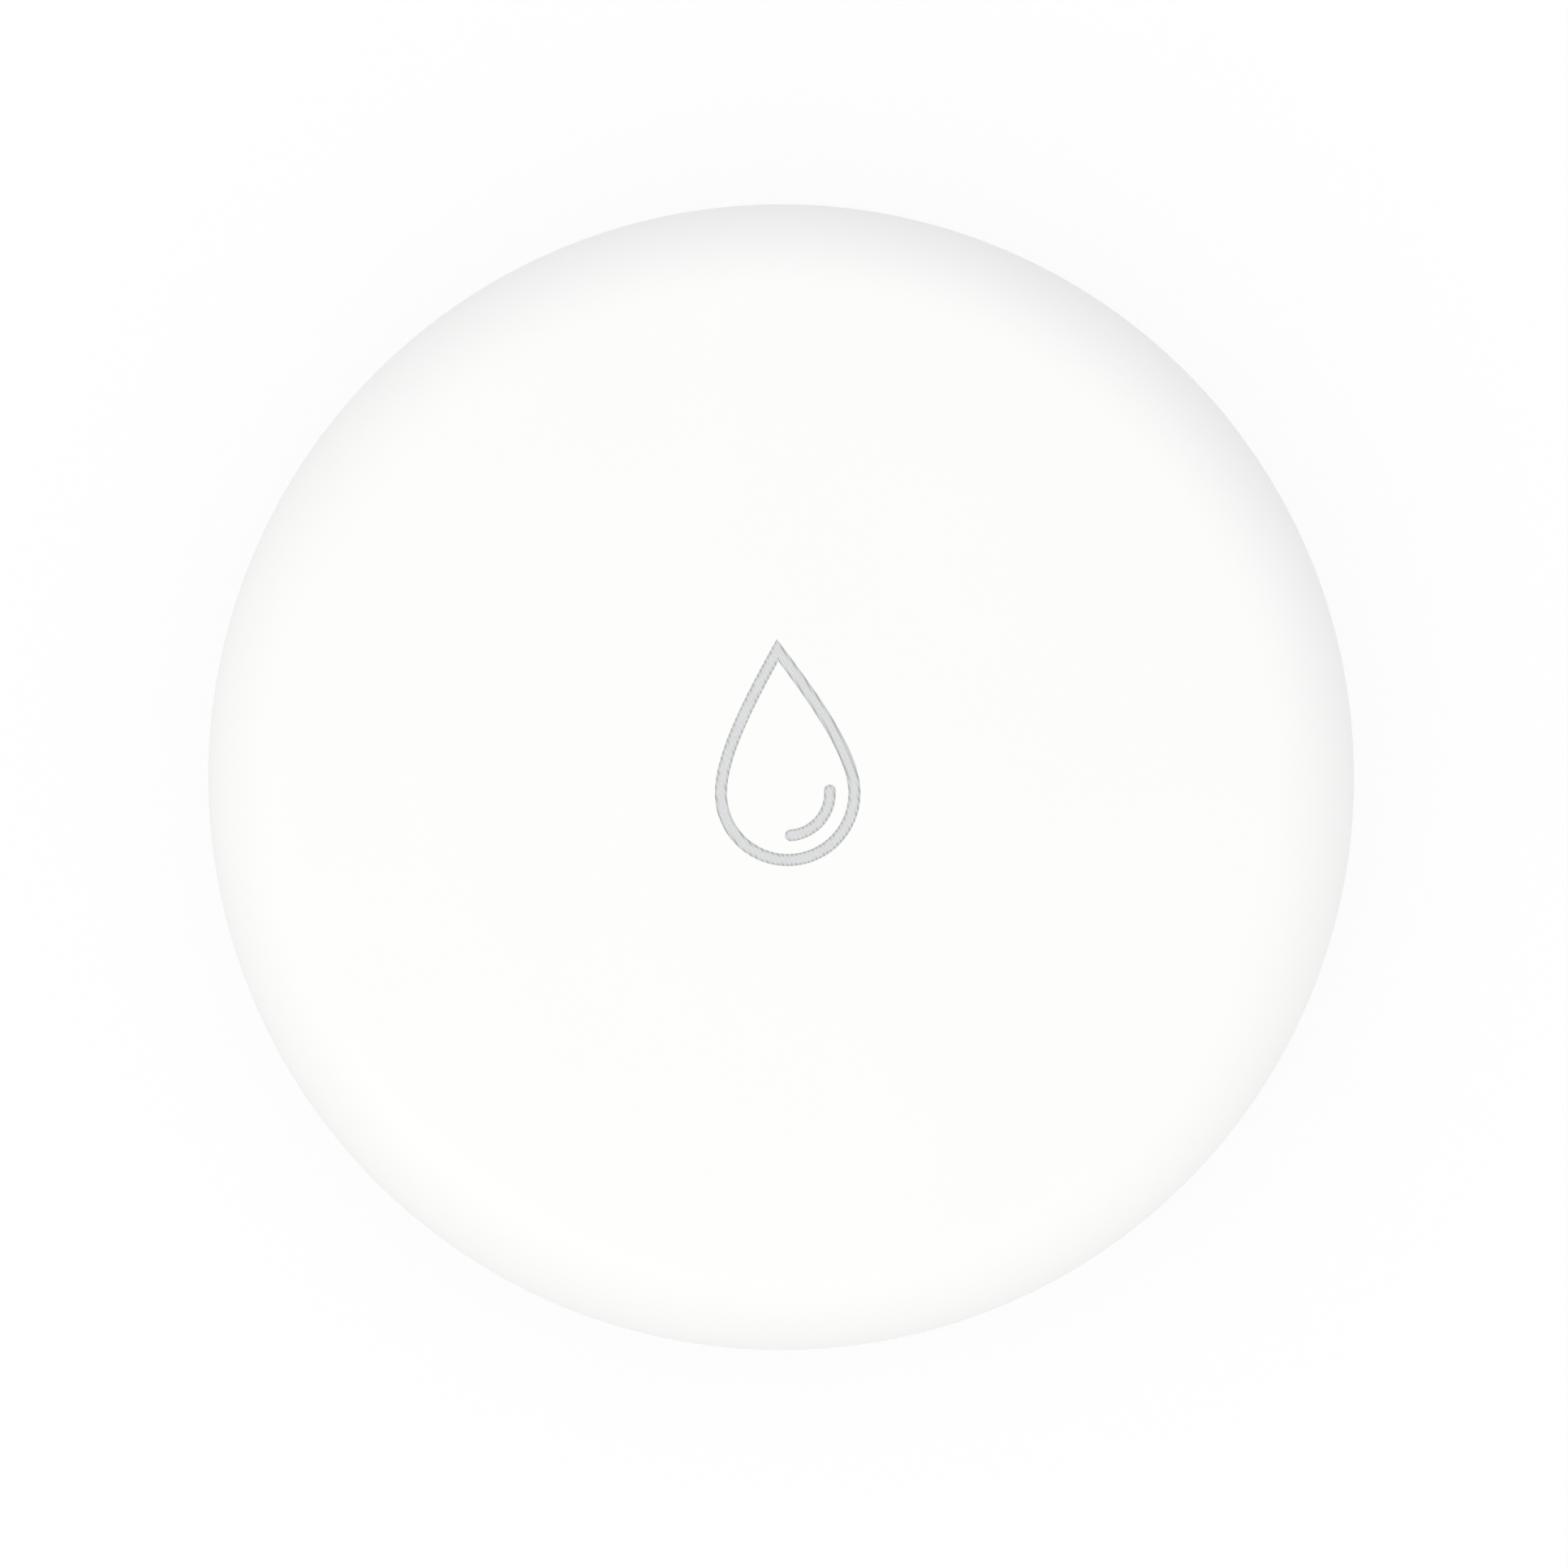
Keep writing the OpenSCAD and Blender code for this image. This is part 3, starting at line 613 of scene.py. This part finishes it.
def turned_mesh(profile, middle, steps):
    """Closed solid turned round an upright axis from (radius, height) points that end where they began."""
    mesh = bmesh.new()
    rings = []
    for radius, height in profile:
        turns = steps if radius > 0 else 1
        rings.append([
            mesh.verts.new((
                middle[0] + radius * math.cos(2 * math.pi * i / steps),
                middle[1] + radius * math.sin(2 * math.pi * i / steps),
                height)) for i in range(turns)])
    for lower, upper in zip(rings, rings[1:] + rings[:1]):
        for i in range(steps):
            corners = [
                lower[i % len(lower)], lower[(i + 1) % len(lower)],
                upper[(i + 1) % len(upper)], upper[i % len(upper)]]
            corners = list(dict.fromkeys(corners))
            if len(corners) > 2:
                mesh.faces.new(corners)
    return mesh


def strip_mesh(rows, gaps, on_cover):
    """Strip laid on the cover from rows of flat points, each point with its distance from the edge."""
    mesh = bmesh.new()
    edge_gap = mesh.verts.layers.float.new(EDGE_GAP)
    grid = []
    for row, row_gaps in zip(rows, gaps):
        line = []
        for point, gap in zip(row, row_gaps):
            corner = mesh.verts.new(on_cover(point))
            corner[edge_gap] = gap
            line.append(corner)
        grid.append(line)
    for line, after in zip(grid, grid[1:]):
        for i in range(len(line) - 1):
            mesh.faces.new((line[i], line[i + 1], after[i + 1], after[i]))
    bmesh.ops.remove_doubles(mesh, verts=mesh.verts, dist=MERGE_GAP)
    return mesh


def cubic(knots, t):
    """Point and direction on a curve with two handles."""
    first, leave, arrive, last = knots
    s = 1 - t
    point = first * s ** 3 + leave * (3 * s * s * t) + arrive * (3 * s * t * t) + last * t ** 3
    slope = (leave - first) * (s * s) + (arrive - leave) * (2 * s * t) + (last - arrive) * (t * t)
    return point, slope


def drop_side(sign):
    """Points down the right side of the drop, each with the direction into it."""
    knots = (
        Vector((0, sign.apex_height)), Vector(sign.upper_handle),
        Vector((sign.belly_radius, sign.lower_handle)), Vector((sign.belly_radius, 0)))
    side = []
    for i in range(sign.rows):
        point, slope = cubic(knots, i / sign.rows)
        side.append((point, Vector((slope.y, -slope.x)).normalized()))
    for i in range(sign.rows + 1):
        turn = -math.pi / 2 * i / sign.rows
        outward = Vector((math.cos(turn), math.sin(turn)))
        side.append((outward * sign.belly_radius, -outward))
    return side


def drop_rows(sign):
    """Rows across the drop's outline, from its apex down the right side and up the left one."""
    rows = []
    gaps = []
    for point, inward in drop_side(sign):
        width = sign.stroke
        if point.x + inward.x * width < 0:
            width = -point.x / inward.x
        steps = [width * k / sign.columns for k in range(sign.columns + 1)]
        rows.append([point + inward * step for step in steps])
        gaps.append([min(step, sign.stroke - step) / sign.stroke for step in steps])
    left = [[Vector((-point.x, point.y)) for point in row] for row in reversed(rows)]
    return rows + left[1:], gaps + gaps[-2::-1]


def glint_rows(sign):
    """Rows across the glint, with a half round at each end."""
    half = sign.glint_stroke / 2
    caps = [math.pi / 2 * i / CAP_STEPS for i in range(CAP_STEPS + 1)]
    sections = [(sign.glint_start, math.sin(lean), math.cos(lean)) for lean in reversed(caps)]
    for i in range(1, sign.rows):
        sections.append((sign.glint_start - sign.glint_sweep * i / sign.rows, 0, 1))
    end = sign.glint_start - sign.glint_sweep
    sections += [(end, -math.sin(lean), math.cos(lean)) for lean in caps]
    rows = []
    gaps = []
    for turn, ahead, width in sections:
        outward = Vector((math.cos(turn), math.sin(turn)))
        onward = Vector((-outward.y, outward.x))
        sides = [width * (2 * k / sign.columns - 1) for k in range(sign.columns + 1)]
        rows.append([
            outward * (sign.glint_radius + half * side) + onward * (half * ahead) for side in sides])
        gaps.append([max(0, 1 - math.hypot(side, ahead)) / 2 for side in sides])
    return rows, gaps


# Studio helpers

def compass(azimuth, elevation):
    """Direction from the sensor, by its azimuth and its height over the horizon."""
    flat = math.cos(elevation)
    return Vector((flat * math.cos(azimuth), flat * math.sin(azimuth), math.sin(elevation)))


def seen_rays(finish):
    """1 for the rays that show a surface in the picture, in a mirror or through glass."""
    return sum(
        finish.node("ShaderNodeLightPath", output=ray)
        for ray in ("Is Camera Ray", "Is Glossy Ray", "Is Transmission Ray"))


# Operators

class LEAKSENSOR_OT_mouldings(bpy.types.Operator):
    """Finishes the cover, base and door in satin white plastic"""

    bl_idname = "leak_sensor.mouldings"
    bl_label = "Finish Mouldings"

    def execute(self, context):
        moulding = context.scene.leak_sensor.moulding
        dress(satin_plastic("cover_plastic", moulding.cover_colour, moulding), "top_cover")
        dress(satin_plastic("base_plastic", moulding.base_colour, moulding), "base_shell")
        dress(satin_plastic("door_plastic", moulding.door_colour, moulding), "battery_door")
        return {"FINISHED"}


class LEAKSENSOR_OT_drop_sign(bpy.types.Operator):
    """Lays the drop's outline and its glint on the cover"""

    bl_idname = "leak_sensor.drop_sign"
    bl_label = "Mark Drop Sign"

    def execute(self, context):
        sign = context.scene.leak_sensor.sign
        finish = laser_mark("drop_mark", sign)
        tree = BVHTree.FromObject(frame["nodes"]["top_cover"], context.evaluated_depsgraph_get())

        def on_cover(point):
            above = Vector((point.x + sign.offset[0], point.y + sign.offset[1], 2 * COVER_HIGH.z))
            place = tree.ray_cast(above, Vector((0, 0, -1)))[0]
            if place is None:
                raise RuntimeError("the drop sign reaches beyond the cover")
            return place

        for name, rows in (("drop_outline", drop_rows(sign)), ("drop_glint", glint_rows(sign))):
            piece = new_piece(name, strip_mesh(*rows, on_cover), finish, "housing")
            layer = piece.modifiers.new("Layer", "SOLIDIFY")
            layer.thickness = sign.thickness
            layer.offset = 0
        return {"FINISHED"}


class LEAKSENSOR_OT_seals(bpy.types.Operator):
    """Finishes the rubber seals"""

    bl_idname = "leak_sensor.seals"
    bl_label = "Finish Seals"

    def execute(self, context):
        black = rubber("seal_rubber_black", context.scene.leak_sensor.electronics.rubber_colour)
        dress(black, "seam_seal", "probe_seals", "door_seal")
        return {"FINISHED"}


class LEAKSENSOR_OT_probes(bpy.types.Operator):
    """Finishes the probes and their brass inserts"""

    bl_idname = "leak_sensor.probes"
    bl_label = "Finish Probes"

    def execute(self, context):
        metal = context.scene.leak_sensor.metal
        dress(turned_nickel("probe_turned", metal), "probe_left", "probe_right")
        brass = brushed_metal(
            "insert_drawn", metal.brass_colour, metal, roughness=0.3, stretch=(1, 1, 0.05))
        dress(brass, "probe_inserts")
        return {"FINISHED"}


class LEAKSENSOR_OT_cell(bpy.types.Operator):
    """Finishes the coin cell"""

    bl_idname = "leak_sensor.cell"
    bl_label = "Finish Coin Cell"

    def execute(self, context):
        settings = context.scene.leak_sensor
        dress(cell_steel("cell_sheet", settings.metal), "cell_can", "cell_cap")
        dress(moulded_resin("gasket_plastic", settings.electronics.gasket_colour), "cell_gasket")
        dress(pressed_powder("core_powder", settings.electronics.core_colour), "cell_core")
        return {"FINISHED"}


class LEAKSENSOR_OT_board(bpy.types.Operator):
    """Finishes the circuit board, its contacts and its small parts"""

    bl_idname = "leak_sensor.board"
    bl_label = "Finish Circuit Board"

    def execute(self, context):
        metal = context.scene.leak_sensor.metal
        electronics = context.scene.leak_sensor.electronics
        dress(printed_board("board_printed", electronics), "circuit_board")
        tinned = brushed_metal(
            "contact_tinned", metal.steel_colour, metal, roughness=0.28, stretch=(0.08, 1, 1))
        dress(tinned, "board_screws", "negative_contact", "positive_contact", "crystal", "switch_frame")
        resin = moulded_resin("chip_resin", electronics.resin_colour)
        dress(resin, "radio_chip", "switch_base", "switch_plunger")
        ceramic = capped_part("capacitor_ceramic", "capacitors", electronics.ceramic_colour, electronics)
        dress(ceramic, "capacitors")
        film = capped_part("resistor_film", "resistors", electronics.resin_colour, electronics)
        dress(film, "resistors")
        dress(clear_lens("lamp_lens", electronics), "indicator_lamp")
        return {"FINISHED"}


class LEAKSENSOR_OT_snap_disc(bpy.types.Operator):
    """Makes the switch's metal dome"""

    bl_idname = "leak_sensor.snap_disc"
    bl_label = "Make Snap Disc"

    def execute(self, context):
        metal = context.scene.leak_sensor.metal
        finish = brushed_metal(
            "disc_spring_steel", metal.steel_colour, metal, roughness=0.2, stretch=(1, 0.1, 1))
        rim = DOME_HIGH.x
        rise = DOME_HIGH.z - DOME_LOW.z
        bend = (rim ** 2 + rise ** 2) / (2 * rise)
        inner_bend = bend - DISC_SHEET
        inner_rim = math.sqrt(inner_bend ** 2 - (bend - rise) ** 2)

        def arc(arc_rim, arc_bend):
            """Points from the axis out to a rim, on an arc round the dome's centre of curvature."""
            radii = [arc_rim * i / DISC_STEPS for i in range(DISC_STEPS + 1)]
            return [(r, DOME_HIGH.z - bend + math.sqrt(arc_bend ** 2 - r ** 2)) for r in radii]

        profile = arc(rim, bend) + arc(inner_rim, inner_bend)[::-1]
        disc = new_piece(
            "snap_disc", turned_mesh(profile, (0, 0), DISC_TURNS), finish, "housing")
        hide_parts("switch_dome")
        travel = next(joint["range_m"][1] for joint in frame["joints"] if joint["name"] == "switch_press")
        room = PLUNGER_LOW.z - travel - DOME_LOW.z - DISC_GAP
        room / rise
        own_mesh(disc)
        return {"FINISHED"}


class LEAKSENSOR_OT_index_marks(bpy.types.Operator):
    """Raises the marks under the case that show when the battery door is locked or open"""

    bl_idname = "leak_sensor.index_marks"
    bl_label = "Raise Index Marks"

    def execute(self, context):
        index = context.scene.leak_sensor.index
        base_finish = frame["nodes"]["base_shell"].material_slots[0].material
        door_finish = frame["nodes"]["battery_door"].material_slots[0].material
        face = PROBE_LOW.z + PROBE_OUT
        low = face - index.height
        deep = face + index.root
        bevel = index.bevel
        outer = index.dot_radius
        inner = index.bore * outer
        dot = [(0, low), (outer - bevel, low), (outer, low + bevel), (outer, deep), (0, deep)]
        ring = [
            (inner, deep), (inner, low + bevel), (inner + bevel, low),
            (outer - bevel, low), (outer, low + bevel), (outer, deep)]
        for name, profile, turn in (
                ("locked_dot", dot, index.locked_angle), ("open_ring", ring, index.open_angle)):
            middle = (index.ring_radius * math.cos(turn), index.ring_radius * math.sin(turn))
            mesh = turned_mesh(profile, middle, MARK_TURNS)
            new_piece(name, mesh, base_finish, "housing")
        self.pointer(index, door_finish)
        return {"FINISHED"}

    def pointer(self, index, finish):
        """Bevelled triangle on the door that points at the locked mark."""
        outward = Vector((math.cos(index.locked_angle), math.sin(index.locked_angle), 0))
        aside = Vector((-outward.y, outward.x, 0))
        middle = outward * index.pointer_radius
        half = index.pointer_size / 2
        tail = middle - outward * half
        corners = [middle + outward * half, tail + aside * half, tail - aside * half]
        low = DOOR_LOW.z - index.height
        mesh = bmesh.new()
        foot = mesh.faces.new([mesh.verts.new((corner.x, corner.y, low)) for corner in corners])
        grown = bmesh.ops.extrude_face_region(mesh, geom=[foot])
        lifted = [item for item in grown["geom"] if isinstance(item, bmesh.types.BMVert)]
        bmesh.ops.translate(mesh, verts=lifted, vec=(0, 0, index.height + index.root))
        bmesh.ops.recalc_face_normals(mesh, faces=mesh.faces)
        bmesh.ops.bevel(
            mesh, geom=mesh.edges, offset=index.bevel, segments=2, affect="EDGES", profile=0.5)
        new_piece("door_pointer", mesh, finish, "door")


class LEAKSENSOR_OT_studio(bpy.types.Operator):
    """Sets the floor, the light and the camera"""

    bl_idname = "leak_sensor.studio"
    bl_label = "Set Studio"

    def execute(self, context):
        stage = context.scene.leak_sensor.stage
        context.scene.view_settings.view_transform = "Standard"
        self.set_surroundings(context.scene, stage)
        self.set_floor(context.scene, stage)
        self.set_key(context.scene, stage)
        self.set_camera(context.scene, stage)
        return {"FINISHED"}

    def set_surroundings(self, scene, stage):
        """White light with a dark card opposite the lamp, in front of a backdrop that is paler higher up."""
        scene.world = bpy.data.worlds.new("studio_white")
        finish = Finish(scene.world)
        direction = finish.node("ShaderNodeTexCoord", output="Generated")
        card = compass(stage.card_azimuth, stage.card_elevation)
        shadowed = finish.ease(
            finish.along(card, direction), math.cos(stage.card_spread), math.cos(stage.card_core))
        light = finish.blend(shadowed, WHITE, stage.card_colour)
        rise = finish.ease(finish.along((0, 0, 1), direction), 0.0, math.sin(stage.backdrop_rise))
        backdrop = finish.blend(rise, stage.backdrop_colour, WHITE)
        tone = finish.blend(seen_rays(finish), light, backdrop)
        sky = finish.node("ShaderNodeBackground", inputs={"Color": tone, "Strength": stage.sky_level})
        finish.node("ShaderNodeOutputWorld", inputs={"Surface": sky})

    def set_floor(self, scene, stage):
        """Floor with a painted pool of white light round the sensor that fades to grey far off, and clear from
        below.

        The shadow is whole under the case, and a painted white glow thins it beside the case.
        """
        finish = new_finish("floor_paper")
        seen = seen_rays(finish)
        from_axis = finish.radius()
        open_floor = finish.ease(from_axis, stage.contact_radius, COVER_HIGH.x)
        # Painted light: the pool of white round the sensor fades out between these radii
        far = finish.ease(from_axis, stage.pool_radius, stage.pool_fade)
        lit = finish.node("ShaderNodeBsdfDiffuse", inputs={"Color": stage.floor_colour})
        shown = finish.node("ShaderNodeBsdfDiffuse", inputs={"Color": stage.floor_seen})
        glow = finish.node("ShaderNodeEmission", inputs={"Color": WHITE, "Strength": 1.0})
        backdrop = finish.node(
            "ShaderNodeEmission", inputs={"Color": stage.backdrop_colour, "Strength": stage.sky_level})
        clear = finish.node("ShaderNodeBsdfTransparent")
        paper = finish.shader_mix(seen, lit, shown)
        # Painted light: the white glow thins the floor's shadow from the contact radius outward
        pool = finish.shader_mix(seen * open_floor * stage.floor_glow, paper, glow)
        upper = finish.shader_mix(seen * far, pool, backdrop)
        below = finish.node("ShaderNodeNewGeometry", output="Backfacing")
        finish.node("ShaderNodeOutputMaterial", inputs={"Surface": finish.shader_mix(below, upper, clear)})
        mesh = bmesh.new()
        bmesh.ops.create_grid(mesh, x_segments=4, y_segments=4, size=stage.floor_side / 2)
        data = bpy.data.meshes.new("studio_floor")
        mesh.to_mesh(data)
        mesh.free()
        data.materials.append(finish.owner)
        floor = bpy.data.objects.new("studio_floor", data)
        floor.location.z = -FLOOR_GAP
        scene.collection.objects.link(floor)

    def set_key(self, scene, stage):
        """Soft square lamp that points at the sensor, with its power set by the light that it adds there."""
        data = bpy.data.lights.new("key_softbox", "AREA")
        data.size = stage.key_size
        data.energy = stage.key_level * math.pi ** 2 * stage.key_distance ** 2
        lamp = bpy.data.objects.new("key_softbox", data)
        direction = compass(stage.key_azimuth, stage.key_elevation)
        lamp.location = direction * stage.key_distance
        lamp.rotation_euler = direction.to_track_quat("Z", "Y").to_euler()
        scene.collection.objects.link(lamp)

    def set_camera(self, scene, stage):
        """Camera straight above, with the case where the picture has it."""
        data = bpy.data.cameras.new("top_camera")
        data.clip_start = 0.01
        data.clip_end = 2 * stage.floor_side
        case_radius = COVER_HIGH.x
        near_rim = 0.9999 * case_radius
        corners = [corner.co for corner in frame["nodes"]["top_cover"].data.vertices]
        widest = max(corner.z for corner in corners if corner.xy.length > near_rim)
        pixel = case_radius / stage.outline_radius
        reach = (stage.camera_height - widest) / pixel
        data.lens = data.sensor_width * reach / stage.picture_side
        right = Vector((math.cos(stage.camera_roll), math.sin(stage.camera_roll), 0))
        up = Vector((-right.y, right.x, 0))
        aside = (stage.picture_side / 2 - stage.outline_middle[0]) * pixel
        lower = (stage.picture_side / 2 - stage.outline_middle[1]) * pixel
        camera = bpy.data.objects.new("top_camera", data)
        camera.location = right * aside - up * lower + Vector((0, 0, stage.camera_height))
        camera.rotation_euler.z = stage.camera_roll
        scene.collection.objects.link(camera)
        scene.camera = camera


class LEAKSENSOR_PT_sidebar(bpy.types.Panel):
    """Lists the steps that dress the sensor and their settings"""

    bl_idname = "LEAKSENSOR_PT_sidebar"
    bl_label = "Leak Sensor"
    bl_space_type = "VIEW_3D"
    bl_region_type = "UI"
    bl_category = "Leak Sensor"

    def draw(self, context):
        settings = context.scene.leak_sensor
        for operator in OPERATORS:
            self.layout.operator(operator.bl_idname)
        for name in LeakSensorSettings.__annotations__:
            group = getattr(settings, name)
            box = self.layout.box()
            box.label(text=settings.bl_rna.properties[name].name)
            for setting in group.__annotations__:
                box.prop(group, setting)


SETTINGS = (
    MouldingSettings, SignSettings, MetalSettings, ElectronicsSettings,
    IndexSettings, StageSettings, LeakSensorSettings)
OPERATORS = (
    LEAKSENSOR_OT_mouldings, LEAKSENSOR_OT_drop_sign, LEAKSENSOR_OT_seals, LEAKSENSOR_OT_probes,
    LEAKSENSOR_OT_cell, LEAKSENSOR_OT_board, LEAKSENSOR_OT_snap_disc, LEAKSENSOR_OT_index_marks,
    LEAKSENSOR_OT_studio)
CLASSES = SETTINGS + OPERATORS + (LEAKSENSOR_PT_sidebar,)


def register():
    for item in CLASSES:
        bpy.utils.register_class(item)
    bpy.types.Scene.leak_sensor = PointerProperty(type=LeakSensorSettings)


def unregister():
    del bpy.types.Scene.leak_sensor
    for item in reversed(CLASSES):
        bpy.utils.unregister_class(item)


def main():
    register()
    bpy.ops.leak_sensor.mouldings()
    bpy.ops.leak_sensor.drop_sign()
    bpy.ops.leak_sensor.seals()
    bpy.ops.leak_sensor.probes()
    bpy.ops.leak_sensor.cell()
    bpy.ops.leak_sensor.board()
    bpy.ops.leak_sensor.snap_disc()
    bpy.ops.leak_sensor.index_marks()
    bpy.ops.leak_sensor.studio()


if __name__ == "__main__":
    main()
